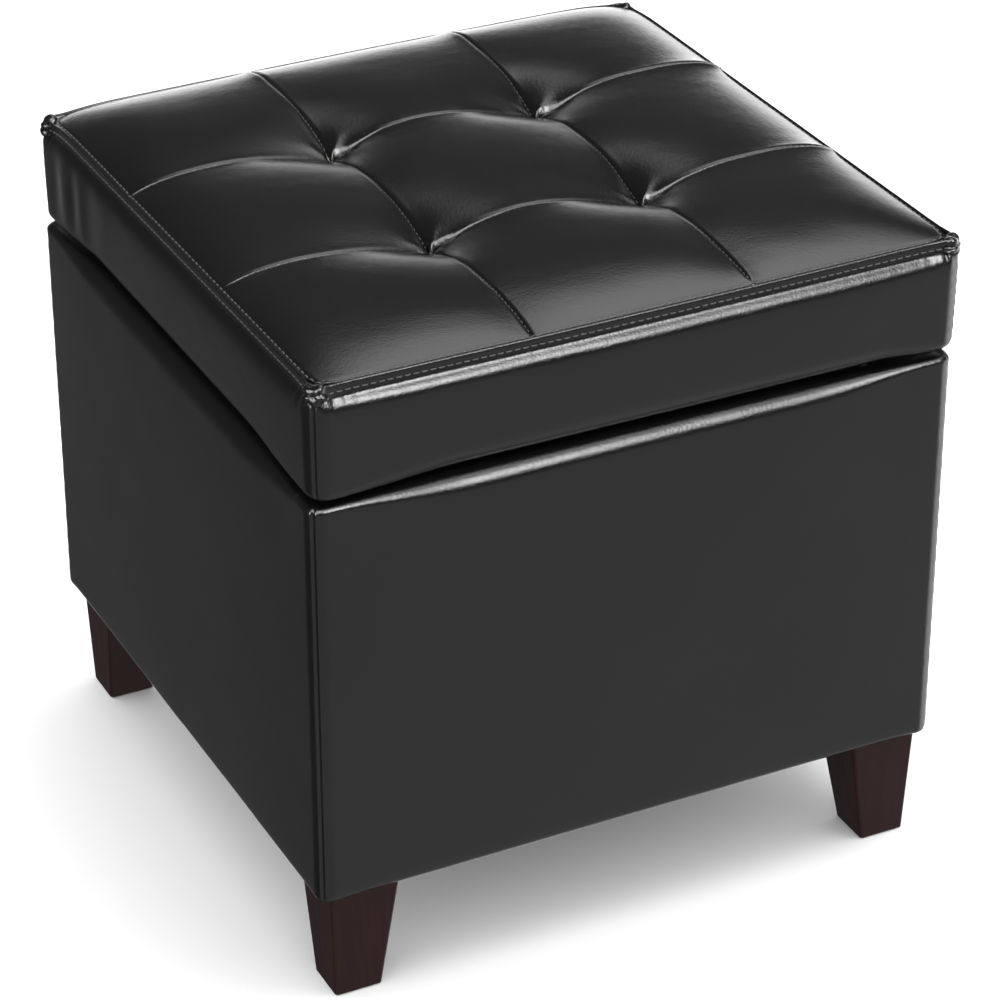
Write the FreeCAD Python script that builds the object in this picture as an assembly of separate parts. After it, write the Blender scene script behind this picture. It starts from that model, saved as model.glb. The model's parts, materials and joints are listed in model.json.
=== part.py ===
import FreeCAD, Part
import math
import os
from FreeCAD import Vector as V

os.makedirs("parts", exist_ok=True)

# ---------------------------------------------------------------------------
# Square storage ottoman: a padded box on four tapered wooden legs, with a
# thick tufted lid on two butt hinges at the back.
# Millimetres. Origin on the floor under the middle of the box.
# +Z up, -Y is the front, the hinges are along the back (+Y).
# ---------------------------------------------------------------------------

# overall
LID_HALF = 220.0          # lid, half its width over the bulge of its side band
LID_Z0 = 360.6            # underside of the lid's turned-under band
SEAM_Z = 436.0            # sewn edge between side band and tufted top
CROWN_Z = 447.5           # highest point of the cushion
BODY_HALF = 215.8         # box, half its width over the cover
BODY_Z0 = 79.8            # underside of the box cover
BODY_Z1 = 357.0           # rim of the box
LEATHER = 1.2             # coated leather cloth

# box
CORNER_R = 14.0
RIM_R = 12.0
HEM_R = 4.0
BOARD_T = 12.0
BOARD_HALF = 208.6        # outside of the boards
BOARD_IN = BOARD_HALF - BOARD_T
BOTTOM_Z0 = BODY_Z0 + LEATHER
BOTTOM_Z1 = BOTTOM_Z0 + BOARD_T
BOARD_Z1 = BODY_Z1 - LEATHER
PAD_GAP = 0.05
LINING_T = 0.8
LIP_DROP = 34.0           # cover turned down inside the rim
BLOCK_SIZE = 56.0
BLOCK_T = 20.0
FLOOR_T = 5.0
FLOOR_Z0 = BOTTOM_Z1 + BLOCK_T
FLOOR_Z1 = FLOOR_Z0 + FLOOR_T

# legs
LEG_C = 191.0             # foot centre from the middle of the box
LEG_TOP_C = 186.5         # top centre: the inner faces taper more than the outer ones
LEG_TOP = 47.0
LEG_FOOT = 32.0
LEG_Z0 = 1.0
LEG_Z1 = 79.0
LEG_R = 2.2
BOLT_C = 182.0            # hanger bolt, set inboard so that it clears the walls
BOLT_R = 4.0
GLIDE_R = 10.5
GLIDE_T = 2.0

# lid
LID_CORNER_R = 20.0
LID_TOP_R = 5.0
LID_HEM_R = 16.0
LID_BOARD_HALF = 203.5
LID_BOARD_T = 12.0
LID_BOARD_Z0 = LID_Z0 + LEATHER
LID_LIP = 190.0
CAP_HALF = 213.5
CAP_R = 9.0
TUFT = 2 * LID_HALF / 6.0  # tufts stand at the thirds of the lid
TUFT_DEPTH = 17.0
TUFT_R = 20.0

# hinges
HINGE_X = 120.0
HINGE_Y = 217.0
HINGE_Z = 358.8
HINGE_LEN = 60.0
KNUCKLE_R = 3.0
PIN_R = 1.5
LEAF_T = 1.4
LEAF_IN_Y = 194.0
LEAF_OUT_Y = 213.4
SCREW_Y = 200.2
SCREW_R = 1.5
SCREW_HEAD_R = 2.7
SCREW_DX = 21.0


def box(x0, x1, y0, y1, z0, z1):
    return Part.makeBox(x1 - x0, y1 - y0, z1 - z0, V(x0, y0, z0))


def sq(h, z0, z1):
    return box(-h, h, -h, h, z0, z1)


def level(shape, z, tol=1e-4):
    return [e for e in shape.Edges
            if abs(e.BoundBox.ZMin - z) < tol and abs(e.BoundBox.ZMax - z) < tol]


def rbox(h, z0, z1, rv, rt=0.0, rb=0.0):
    """Square block with rounded upright corners, top edges and bottom edges."""
    s = sq(h, z0, z1)
    up = [e for e in s.Edges if e.BoundBox.ZLength > 1.0]
    s = s.makeFillet(rv, up)
    if rt:
        s = s.makeFillet(rt, level(s, z1))
    if rb:
        s = s.makeFillet(rb, level(s, z0))
    return s


def cyl(r, x, y, z0, z1):
    return Part.makeCylinder(r, z1 - z0, V(x, y, z0))


def cyl_x(r, x0, x1, y, z):
    return Part.makeCylinder(r, x1 - x0, V(x0, y, z), V(1, 0, 0))


def cut_all(shape, tools):
    for t in tools:
        shape = shape.cut(t)
    return shape


def fuse_all(shapes):
    s = shapes[0]
    for t in shapes[1:]:
        s = s.fuse(t)
    return s.removeSplitter()


NODES = []


def out(name, shape, groups=1):
    solids = shape.Solids
    if len(solids) != groups:
        raise RuntimeError("%s has %d solids, not %d" % (name, len(solids), groups))
    for s in solids:
        if not s.isValid() or s.Volume <= 0:
            raise RuntimeError("bad solid in " + name)
    final = solids[0] if groups == 1 else Part.makeCompound(solids)
    final.exportStep(os.path.join("parts", name + ".step"))
    bb = final.BoundBox
    NODES.append(name)
    print("%-26s n=%d  z %.1f..%.1f  vol %.1f cm3" % (name, groups, bb.ZMin, bb.ZMax, final.Volume / 1000.0))


SIGNS = [("front_left", -1, -1), ("front_right", 1, -1), ("back_left", -1, 1), ("back_right", 1, 1)]
HINGES = [("left", -1), ("right", 1)]

# ------------------------------------------------------------ fastener places
base_screw_xy = [(s * HINGE_X + k * SCREW_DX, SCREW_Y) for _, s in HINGES for k in (-1, 1)]
lid_screw_xy = [(s * HINGE_X + k * SCREW_DX, SCREW_Y) for _, s in HINGES for k in (-1, 1)]
bolt_xy = [(sx * BOLT_C, sy * BOLT_C) for _, sx, sy in SIGNS]
tuft_xy = [(sx * TUFT, sy * TUFT) for _, sx, sy in SIGNS]

# ------------------------------------------------------------------ the boards
carcass = sq(BOARD_HALF, BOTTOM_Z1, BOARD_Z1)
carcass = carcass.makeChamfer(6.0, level(carcass, BOARD_Z1))
hinge_pilots = [cyl(SCREW_R + 0.02, x, y, BODY_Z1 - 18.5, BODY_Z1 + 2) for x, y in base_screw_xy]

# screws that hold the front and back boards to the side boards
panel_screws = []
panel_cuts = []
for sy in (-1, 1):
    for sx in (-1, 1):
        for z in (130.0, 215.0, 300.0):
            x = sx * (BOARD_HALF - BOARD_T / 2)
            y0 = sy * BOARD_HALF
            d = V(0, -sy, 0)
            head = Part.makeCone(3.6, 1.8, 2.0, V(x, y0, z), d)
            shank = Part.makeCylinder(1.8, 36.0, V(x, y0 - sy * 2.0, z), d)
            panel_screws.append(head.fuse(shank).removeSplitter())
            panel_cuts.append(Part.makeCone(3.62, 1.82, 2.0, V(x, y0, z), d)
                              .fuse(Part.makeCylinder(1.82, 36.5, V(x, y0 - sy * 2.0, z), d)))

front_panel = carcass.common(box(-300, 300, -300, -BOARD_IN, 0, 500))
back_panel = carcass.common(box(-300, 300, BOARD_IN, 300, 0, 500))
left_panel = carcass.common(box(-300, -BOARD_IN, -BOARD_IN, BOARD_IN, 0, 500))
right_panel = carcass.common(box(BOARD_IN, 300, -BOARD_IN, BOARD_IN, 0, 500))
front_panel = cut_all(front_panel, panel_cuts)
back_panel = cut_all(cut_all(back_panel, panel_cuts), hinge_pilots)
left_panel = cut_all(left_panel, panel_cuts)
right_panel = cut_all(right_panel, panel_cuts)
out("front_panel", front_panel)
out("back_panel", back_panel)
out("left_panel", left_panel)
out("right_panel", right_panel)
out("panel_screws", Part.makeCompound(panel_screws), 12)

bottom = sq(BOARD_HALF, BOTTOM_Z0, BOTTOM_Z1)
out("bottom_panel", cut_all(bottom, [cyl(BOLT_R + 0.5, x, y, 60, 120) for x, y in bolt_xy]))

for name, sx, sy in SIGNS:
    a, b = sorted((sx * BOARD_IN, sx * (BOARD_IN - BLOCK_SIZE)))
    c, d = sorted((sy * BOARD_IN, sy * (BOARD_IN - BLOCK_SIZE)))
    blk = box(a, b, c, d, BOTTOM_Z1, FLOOR_Z0)
    x, y = sx * BOLT_C, sy * BOLT_C
    blk = cut_all(blk, [cyl(BOLT_R + 0.5, x, y, 60, 120), cyl(5.45, x, y, FLOOR_Z0 - 12, 120),
                        cyl(11.3, x, y, FLOOR_Z0 - 1.8, 120)])
    out("leg_block_" + name, blk)

floor = sq(BOARD_IN - 0.5, FLOOR_Z0, FLOOR_Z1)
out("storage_floor", floor)

# ------------------------------------------------------------ padding and cover
pad = rbox(BODY_HALF - LEATHER - PAD_GAP, BOTTOM_Z0 + PAD_GAP, BOARD_Z1 - PAD_GAP,
           CORNER_R - LEATHER - PAD_GAP, RIM_R - LEATHER - PAD_GAP, HEM_R - LEATHER - PAD_GAP)
pad = pad.cut(sq(BOARD_HALF, 0, 500))


def wedge(ax, s):
    if ax == "y":
        pts = [V(0, 0, 0), V(-300, s * 300, 0), V(300, s * 300, 0), V(0, 0, 0)]
    else:
        pts = [V(0, 0, 0), V(s * 300, -300, 0), V(s * 300, 300, 0), V(0, 0, 0)]
    return Part.Face(Part.makePolygon(pts)).extrude(V(0, 0, 500))


out("front_padding", pad.common(wedge("y", -1)))
out("back_padding", pad.common(wedge("y", 1)))
out("left_padding", pad.common(wedge("x", -1)))
out("right_padding", pad.common(wedge("x", 1)))

cover = rbox(BODY_HALF, BODY_Z0, BODY_Z1, CORNER_R, RIM_R, HEM_R)
cover = cover.cut(rbox(BODY_HALF - LEATHER, BOTTOM_Z0, BOARD_Z1, CORNER_R - LEATHER, RIM_R - LEATHER, HEM_R - LEATHER))
cover = cover.cut(sq(BODY_HALF - 14.0, 0, BOTTOM_Z0 + 1))
cover = cover.cut(sq(BOARD_IN - LEATHER, 300, 500))
lip = sq(BOARD_IN, BODY_Z1 - LIP_DROP, BODY_Z1 - LEATHER).cut(sq(BOARD_IN - LEATHER, 0, 500))
cover = cover.fuse(lip).removeSplitter()
cover = cut_all(cover, [cyl(SCREW_R + 0.05, x, y, BODY_Z1 - 3, BODY_Z1 + 2) for x, y in base_screw_xy])
out("box_cover", cover)

wall_lining = sq(BOARD_IN, FLOOR_Z1, BODY_Z1 - LIP_DROP).cut(sq(BOARD_IN - LINING_T, 0, 500))
out("wall_lining", wall_lining)
out("floor_lining", sq(BOARD_IN - LINING_T, FLOOR_Z1, FLOOR_Z1 + LINING_T))

dust = sq(BODY_HALF - 9.0, LEG_Z1, BODY_Z0)
dust = cut_all(dust, [cyl(BOLT_R + 0.5, x, y, 60, 120) for x, y in bolt_xy])
out("bottom_dust_cover", dust)

# ------------------------------------------------------------------------- legs


def rsquare(h, r, cx, cy, z):
    k = r * (1 - math.sqrt(0.5))
    e = []
    c = [(h, h), (-h, h), (-h, -h), (h, -h)]
    d = [(0, 1), (-1, 0), (0, -1), (1, 0)]
    pts = []
    for (x, y), (ux, uy) in zip(c, d):
        # arriving along (ux, uy), leaving along the next direction, anticlockwise
        vx, vy = -uy, ux
        pts.append(((x - ux * r, y - uy * r), (x - (x / abs(x)) * k, y - (y / abs(y)) * k), (x + vx * r, y + vy * r)))
    for i in range(4):
        a, m, b = [V(cx + p[0], cy + p[1], z) for p in pts[i]]
        n = V(cx + pts[(i + 1) % 4][0][0], cy + pts[(i + 1) % 4][0][1], z)
        e.append(Part.Arc(a, m, b).toShape())
        e.append(Part.LineSegment(b, n).toShape())
    return Part.Wire(e)


for name, sx, sy in SIGNS:
    cx, cy = sx * LEG_C, sy * LEG_C
    top = rsquare(LEG_TOP / 2, LEG_R, sx * LEG_TOP_C, sy * LEG_TOP_C, LEG_Z1)
    leg = Part.makeLoft([rsquare(LEG_FOOT / 2, LEG_R, cx, cy, LEG_Z0), top], True, True)
    leg = leg.cut(cyl(BOLT_R + 0.02, sx * BOLT_C, sy * BOLT_C, 48.0, 90))
    leg = leg.cut(cyl(GLIDE_R + 0.05, cx, cy, 0, GLIDE_T))
    out("leg_" + name, leg)

glides = []
for _, sx, sy in SIGNS:
    g = cyl(GLIDE_R, sx * LEG_C, sy * LEG_C, 0, GLIDE_T)
    g = g.makeChamfer(0.4, level(g, 0))
    glides.append(g)
out("foot_glides", Part.makeCompound(glides), 4)

bolts, nuts = [], []
for x, y in bolt_xy:
    b = cyl(BOLT_R, x, y, 49.0, FLOOR_Z0 - 1.0)
    b = b.makeChamfer(0.8, level(b, 49.0) + level(b, FLOOR_Z0 - 1.0))
    bolts.append(b)
    n = cyl(5.4, x, y, FLOOR_Z0 - 11.7, FLOOR_Z0 - 1.7).fuse(cyl(11.0, x, y, FLOOR_Z0 - 1.7, FLOOR_Z0 - 0.2))
    n = n.cut(cyl(BOLT_R + 0.02, x, y, 60, 140)).removeSplitter()
    nuts.append(n)
out("leg_bolts", Part.makeCompound(bolts), 4)
out("leg_tee_nuts", Part.makeCompound(nuts), 4)

# ---------------------------------------------------------------------- bumpers
bump = []
for x, y in ((-160, -199.6), (160, -199.6), (-199.6, 40), (199.6, 40)):
    b = cyl(3.8, x, y, BODY_Z1, BODY_Z1 + 3.2)
    b = b.makeFillet(1.0, level(b, BODY_Z1 + 3.2))
    bump.append(b)
out("lid_bumpers", Part.makeCompound(bump), 4)

# ----------------------------------------------------------------------- hinges
K = HINGE_LEN / 5.0       # five knuckles: three on the box leaf, two on the lid leaf
GAP = 0.25


def leaf(cx, mine, z0, z1, up):
    plate = box(cx - HINGE_LEN / 2, cx + HINGE_LEN / 2, LEAF_IN_Y, LEAF_OUT_Y, z0, z1)
    ends = [e for e in plate.Edges if e.BoundBox.ZLength > 1.0 and abs(e.BoundBox.YMin - LEAF_IN_Y) < 1e-4]
    plate = plate.makeFillet(4.0, ends)
    parts = [plate]
    for i in mine:
        x0 = cx - HINGE_LEN / 2 + i * K + (GAP / 2 if i else 0)
        x1 = cx - HINGE_LEN / 2 + (i + 1) * K - (GAP / 2 if i < 4 else 0)
        parts.append(cyl_x(KNUCKLE_R, x0, x1, HINGE_Y, HINGE_Z))
        parts.append(box(x0, x1, LEAF_OUT_Y - 1, HINGE_Y, z0, z1))
    s = fuse_all(parts)
    s = s.cut(cyl_x(PIN_R + 0.05, cx - 60, cx + 60, HINGE_Y, HINGE_Z))
    for k in (-1, 1):
        x = cx + k * SCREW_DX
        s = s.cut(cyl(SCREW_R + 0.1, x, SCREW_Y, z0 - 1, z1 + 1))
        if up:
            s = s.cut(Part.makeCone(SCREW_R + 0.05, SCREW_HEAD_R + 0.05, LEAF_T, V(x, SCREW_Y, z0)))
        else:
            s = s.cut(Part.makeCone(SCREW_HEAD_R + 0.05, SCREW_R + 0.05, LEAF_T, V(x, SCREW_Y, z0)))
    return s


for name, s in HINGES:
    cx = s * HINGE_X
    out("hinge_box_leaf_" + name, leaf(cx, (0, 2, 4), BODY_Z1, BODY_Z1 + LEAF_T, True))
    out("hinge_lid_leaf_" + name, leaf(cx, (1, 3), LID_Z0 - LEAF_T, LID_Z0, False))
    pin = cyl_x(PIN_R, cx - HINGE_LEN / 2 - 0.8, cx + HINGE_LEN / 2 + 0.8, HINGE_Y, HINGE_Z)
    h1 = cyl_x(2.4, cx - HINGE_LEN / 2 - 1.6, cx - HINGE_LEN / 2 - 0.05, HINGE_Y, HINGE_Z)
    h2 = cyl_x(2.4, cx + HINGE_LEN / 2 + 0.05, cx + HINGE_LEN / 2 + 1.6, HINGE_Y, HINGE_Z)
    out("hinge_pin_" + name, fuse_all([pin, h1, h2]))

bs, ls = [], []
for x, y in base_screw_xy:
    s = Part.makeCone(SCREW_R, SCREW_HEAD_R, LEAF_T, V(x, y, BODY_Z1)).fuse(cyl(SCREW_R, x, y, BODY_Z1 - 18.0, BODY_Z1))
    bs.append(s.removeSplitter())
for x, y in lid_screw_xy:
    s = Part.makeCone(SCREW_HEAD_R, SCREW_R, LEAF_T, V(x, y, LID_Z0 - LEAF_T)).fuse(cyl(SCREW_R, x, y, LID_Z0, LID_Z0 + 11.0))
    ls.append(s.removeSplitter())
out("hinge_screws_box", Part.makeCompound(bs), 4)
out("hinge_screws_lid", Part.makeCompound(ls), 4)

# -------------------------------------------------------------------------- lid
LB1 = LID_BOARD_Z0 + LID_BOARD_T
board = rbox(LID_BOARD_HALF, LID_BOARD_Z0, LB1, 6.0)
board = cut_all(board, [cyl(SCREW_R + 0.02, x, y, 350, LID_Z0 + 11.5) for x, y in lid_screw_xy])
board = cut_all(board, [cyl(2.5, x, y, 350, 400) for x, y in tuft_xy])
board = cut_all(board, [cyl(10.2, x, y, 350, LID_BOARD_Z0 + 2.2) for x, y in tuft_xy])
out("lid_board", board)

band = rbox(LID_HALF, LID_Z0, SEAM_Z, LID_CORNER_R, LID_TOP_R, LID_HEM_R)
band = band.cut(rbox(LID_HALF - LEATHER, LID_Z0 + LEATHER, SEAM_Z - LEATHER, LID_CORNER_R - LEATHER,
                     LID_TOP_R - LEATHER, LID_HEM_R - LEATHER))
band = band.cut(rbox(CAP_HALF + 0.2, 400, 500, 14.0))
band = band.cut(sq(LID_LIP, 300, LID_BOARD_Z0 + 1))
band = cut_all(band, [cyl(SCREW_R + 0.05, x, y, 350, 365) for x, y in lid_screw_xy])
out("lid_side_band", band)


def cones(grow):
    """Funnels pulled down into the cushion by the four tufts."""
    c = []
    for x, y in tuft_xy:
        c.append(Part.makeCone(2.0 + grow, TUFT_R + grow, TUFT_DEPTH + 3.0,
                               V(x, y, CROWN_Z - TUFT_DEPTH - grow)))
    return c


cap = rbox(CAP_HALF, SEAM_Z + 0.05, CROWN_Z, 13.5, CAP_R)
core = rbox(CAP_HALF - LEATHER, SEAM_Z - 2, CROWN_Z - LEATHER, 12.3, CAP_R - LEATHER)
skin = cut_all(cap, cones(0.0)).cut(cut_all(core, cones(LEATHER)))
skin = skin.common(sq(300, SEAM_Z + 0.05 - TUFT_DEPTH, 500))
low = [c.common(sq(300, 0, SEAM_Z + 0.06)) for c in cones(LEATHER)]
low_in = cones(0.0)
for a, b in zip(low, low_in):
    skin = skin.fuse(a.cut(b))
skin = skin.removeSplitter()
out("lid_top_cover", skin)

ring = rbox(CAP_HALF + 2.9, SEAM_Z + 0.05, SEAM_Z + 3.0, 16.4, 1.2).cut(rbox(CAP_HALF + 0.15, 400, 500, 13.65))
out("lid_edge_seam", ring)

foam = rbox(LID_HALF - LEATHER - 1.0, LB1, SEAM_Z - 2.2, LID_CORNER_R - 2.2, 5.5)
foam = foam.fuse(rbox(CAP_HALF - LEATHER - 0.3, SEAM_Z - 8, CROWN_Z - LEATHER - 0.3, 12.0, CAP_R - LEATHER - 0.3)).removeSplitter()
foam = cut_all(foam, cones(LEATHER + 0.3))
foam = cut_all(foam, [cyl(2.6, x, y, LB1 - 1, 460) for x, y in tuft_xy])
out("lid_foam", foam)

twines, washers = [], []
for x, y in tuft_xy:
    twines.append(cyl(0.9, x, y, LID_BOARD_Z0 + 1.9, CROWN_Z - TUFT_DEPTH - LEATHER - 0.05))
    w = cyl(9.5, x, y, LID_BOARD_Z0 + 0.2, LID_BOARD_Z0 + 1.85).cut(cyl(1.4, x, y, 300, 400))
    washers.append(w)
out("tuft_twines", Part.makeCompound(twines), 4)
out("tuft_washers", Part.makeCompound(washers), 4)

out("lid_dust_cover", sq(LID_LIP - 0.3, LID_BOARD_Z0 - 0.8, LID_BOARD_Z0))

print("nodes", len(NODES))
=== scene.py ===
import json
import math

import bpy
import numpy as np
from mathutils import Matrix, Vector


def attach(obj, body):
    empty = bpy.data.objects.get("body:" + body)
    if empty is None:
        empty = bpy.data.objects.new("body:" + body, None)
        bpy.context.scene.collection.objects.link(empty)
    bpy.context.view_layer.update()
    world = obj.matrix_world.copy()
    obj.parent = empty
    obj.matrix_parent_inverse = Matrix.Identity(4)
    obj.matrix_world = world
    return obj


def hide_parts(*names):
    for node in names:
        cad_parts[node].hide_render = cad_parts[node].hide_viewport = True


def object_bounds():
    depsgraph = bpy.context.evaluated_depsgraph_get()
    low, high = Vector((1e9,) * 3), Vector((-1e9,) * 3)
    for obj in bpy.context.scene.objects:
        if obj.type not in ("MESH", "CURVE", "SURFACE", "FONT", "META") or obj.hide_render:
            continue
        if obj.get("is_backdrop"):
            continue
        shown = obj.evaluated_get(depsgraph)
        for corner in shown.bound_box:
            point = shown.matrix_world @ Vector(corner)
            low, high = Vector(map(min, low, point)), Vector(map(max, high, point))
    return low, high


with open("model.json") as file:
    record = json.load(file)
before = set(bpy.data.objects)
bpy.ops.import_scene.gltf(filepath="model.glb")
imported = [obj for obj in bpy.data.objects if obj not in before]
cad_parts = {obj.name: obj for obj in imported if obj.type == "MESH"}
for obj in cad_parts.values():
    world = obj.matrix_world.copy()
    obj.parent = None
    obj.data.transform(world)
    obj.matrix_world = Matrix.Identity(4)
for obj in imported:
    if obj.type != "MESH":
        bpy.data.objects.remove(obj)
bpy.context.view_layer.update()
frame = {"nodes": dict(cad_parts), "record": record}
MM = 0.001
bpy.context.scene.view_settings.view_transform = "Standard"
bpy.context.scene.view_settings.look = "None"


# ------------------------------------------------------------------ mesh helpers
def make(name, verts_mm, faces, smooth=True, sharp=None):
    me = bpy.data.meshes.new(name)
    me.from_pydata((np.asarray(verts_mm, float) * MM).tolist(), [], [list(map(int, f)) for f in faces])
    me.validate()
    me.update()
    me.polygons.foreach_set("use_smooth", [smooth] * len(me.polygons))
    if sharp is not None:
        me.set_sharp_from_angle(angle=math.radians(sharp))
    ob = bpy.data.objects.new(name, me)
    bpy.context.scene.collection.objects.link(ob)
    return ob


def smooth01(x):
    x = np.clip(x, 0.0, 1.0)
    return x * x * (3 - 2 * x)


def waves(p, seed, size, n=10):
    """Smooth, repeatable unevenness: a sum of plane waves about size mm long."""
    r = np.random.RandomState(seed)
    p = np.asarray(p, float)
    out = np.zeros(p.shape[:-1])
    for _ in range(n):
        d = r.normal(size=3)
        d /= np.linalg.norm(d)
        k = 2 * math.pi / (size * r.uniform(0.7, 1.7))
        out += np.sin(p @ d * k + r.uniform(0, 6.283))
    return out / math.sqrt(n / 2.0)


# --------------------------------------------------- a sweep round a square plan
class Loop:
    """Stations round a square with rounded corners, anticlockwise from the front left."""

    def __init__(self, H, R, arc=22, near=0.55, far=3.4):
        self.H, self.R = H, R
        L = 2 * (H - R)
        d, step, x = [0.0], near, 0.0
        while x + step < L / 2:
            x += step
            d.append(x)
            step = min(step * 1.16, far)
        d = np.array(d) * (L / 2) / (d[-1] + step * 0.5)
        t = np.concatenate([d / (L / 2) - 1, 1 - d[::-1] / (L / 2)])
        n, u, tt, dc, face, kind, arcpos = [], [], [], [], [], [], []
        for k in range(4):
            a = -math.pi / 2 + k * math.pi / 2
            nn = np.array([math.cos(a), math.sin(a)])
            uu = np.array([-nn[1], nn[0]])
            for v in t:
                n.append(nn); u.append(uu); tt.append(v)
                e = (1 - abs(v)) * L / 2
                dc.append(e); face.append(k); kind.append(0)
                arcpos.append(e + R * math.pi / 4)
            n2 = uu
            for j in range(1, arc):
                b = a + j / arc * math.pi / 2
                n.append([math.cos(b), math.sin(b)]); u.append(nn + n2); tt.append(1.0)
                dc.append(0.0); face.append(k); kind.append(1)
                arcpos.append(abs(j / arc - 0.5) * R * math.pi / 2)
        self.n, self.u, self.t = np.array(n), np.array(u), np.array(tt)
        self.dc, self.face, self.kind = np.array(dc), np.array(face), np.array(kind)
        self.seam = np.array(arcpos)     # distance from the middle of the nearest corner
        self.count = len(self.t)

    def at(self, q, z, rmin=0.4):
        """Points q mm inside the outline at height z. q and z are numbers or one value per station."""
        q = np.broadcast_to(np.asarray(q, float), (self.count,))
        z = np.broadcast_to(np.asarray(z, float), (self.count,))
        r = np.maximum(self.R - q, rmin)
        c = self.H - q - r
        straight = self.n * (self.H - q)[:, None] + self.u * (self.t * c)[:, None]
        arc = self.u * c[:, None] + self.n * r[:, None]
        xy = np.where(self.kind[:, None] == 0, straight, arc)
        return np.column_stack([xy, z])


def sweep(name, loop, rows, shift=None, closed=True):
    """rows: list of (q, z). shift: outward mm per (row, station)."""
    P = np.array([loop.at(q, z) for q, z in rows])
    if shift is not None:
        P[:, :, :2] += loop.n[None] * shift[:, :, None]
    m, k = P.shape[:2]
    V = P.reshape(-1, 3)
    i = np.arange(m if closed else m - 1)[:, None]
    j = np.arange(k)[None]
    a = i * k + j
    b = i * k + (j + 1) % k
    c = ((i + 1) % m) * k + (j + 1) % k
    d = ((i + 1) % m) * k + j
    F = np.stack([a + 0 * j, b + 0 * i, c, d], -1).reshape(-1, 4)
    return V, F, P


def flip(F):
    return F[:, ::-1]


# ----------------------------------------------------------- heights of the lid
SEAM_Z, BAND_H, BAND_R = 436.0, 219.3, 13.0
CELL = 73.3333 / 73
KMAX = 212


def edge_z(x, y):
    """Height of the sewn edge: the cover isn't pulled quite level."""
    a, b = (np.clip(x / 213.0, -1, 1) + 1) / 2, (np.clip(y / 213.0, -1, 1) + 1) / 2
    z = 436.5 * (1 - a) * (1 - b) + 438.0 * a * (1 - b) + 434.6 * a * b + 433.8 * (1 - a) * b
    mid = 1 - np.clip(x / 213.0, -1, 1) ** 2
    z = z - 0.9 * smooth01((-y - 150) / 60) * mid + 1.4 * smooth01((y - 150) / 60) * mid
    return z - 3.2 * np.exp(-((213 - abs(x)) / 22) ** 2 - ((213 - y) / 22) ** 2)


T = 73.3333
# seam heights, measured along each sewn line: (distance along, height)
ROW = {  # lines that run left to right
    1: [(-213, 433.6), (-205, 437.0), (-193, 440.4), (-172, 443.2), (-148, 444.1), (-124, 441.6), (-100, 436.6), (-87, 432.6), (-73.33, 428.6),
        (-66, 431.2), (-56, 438.2), (-46, 442.8), (-36, 446.4), (-12, 448.8), (10, 447.6), (28, 443.8), (45, 438.6), (60, 433.0), (73.33, 428.8),
        (84, 432.0), (97, 438.8), (112, 445.0), (138, 449.2), (168, 449.8), (195, 447.0), (206, 443.6), (213, 439.6)],
    -1: [(-213, 436.2), (-205, 439.0), (-186, 443.2), (-159, 444.8), (-133, 443.2), (-113, 440.2), (-93, 434.6), (-82, 430.8), (-73.33, 428.4),
         (-66, 431.4), (-56, 437.8), (-46, 442.2), (-28, 446.4), (-11, 448.4), (6, 447.4), (24, 444.0), (42, 439.0), (58, 433.2), (73.33, 428.6),
         (82, 433.0), (91, 438.8), (108, 444.8), (137, 449.0), (166, 449.8), (192, 447.2), (205, 443.6), (213, 440.2)],
}
COL = {  # lines that run front to back
    -1: [(-213, 435.8), (-205, 438.2), (-186, 442.0), (-155, 444.8), (-129, 444.4), (-110, 442.0), (-94, 437.0), (-83, 432.2), (-73.33, 428.4),
         (-64, 431.6), (-46, 437.4), (-18, 442.4), (8, 443.8), (34, 441.6), (52, 437.0), (64, 431.8), (73.33, 428.6),
         (86, 435.0), (100, 439.8), (117, 443.4), (148, 446.4), (181, 446.2), (200, 442.6), (213, 437.0)],
    1: [(-213, 438.6), (-205, 440.2), (-190, 442.2), (-173, 444.0), (-142, 446.0), (-111, 443.4), (-94, 438.2), (-83, 432.6), (-73.33, 428.6),
        (-56, 433.4), (-33, 440.6), (-12, 443.8), (8, 444.4), (31, 443.6), (49, 439.0), (62, 433.2), (73.33, 428.8),
        (84, 432.6), (98, 437.8), (120, 444.2), (150, 447.2), (180, 447.4), (200, 443.4), (213, 437.6)],
}


def spline(pts, x):
    """Smooth curve through the points, with no overshoot (monotone cubic)."""
    px = np.array([p[0] for p in pts], float)
    py = np.array([p[1] for p in pts], float)
    h = np.diff(px)
    s = np.diff(py) / h
    m = np.zeros_like(px)
    for i in range(1, len(px) - 1):
        if s[i - 1] * s[i] > 0:
            w1, w2 = 2 * h[i] + h[i - 1], h[i] + 2 * h[i - 1]
            m[i] = (w1 + w2) / (w1 / s[i - 1] + w2 / s[i])
    m[0], m[-1] = s[0], s[-1]
    k = np.clip(np.searchsorted(px, x) - 1, 0, len(h) - 1)
    t = (x - px[k]) / h[k]
    return ((2 * t ** 3 - 3 * t ** 2 + 1) * py[k] + (t ** 3 - 2 * t ** 2 + t) * h[k] * m[k]
            + (-2 * t ** 3 + 3 * t ** 2) * py[k + 1] + (t ** 3 - t ** 2) * h[k] * m[k + 1])


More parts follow.
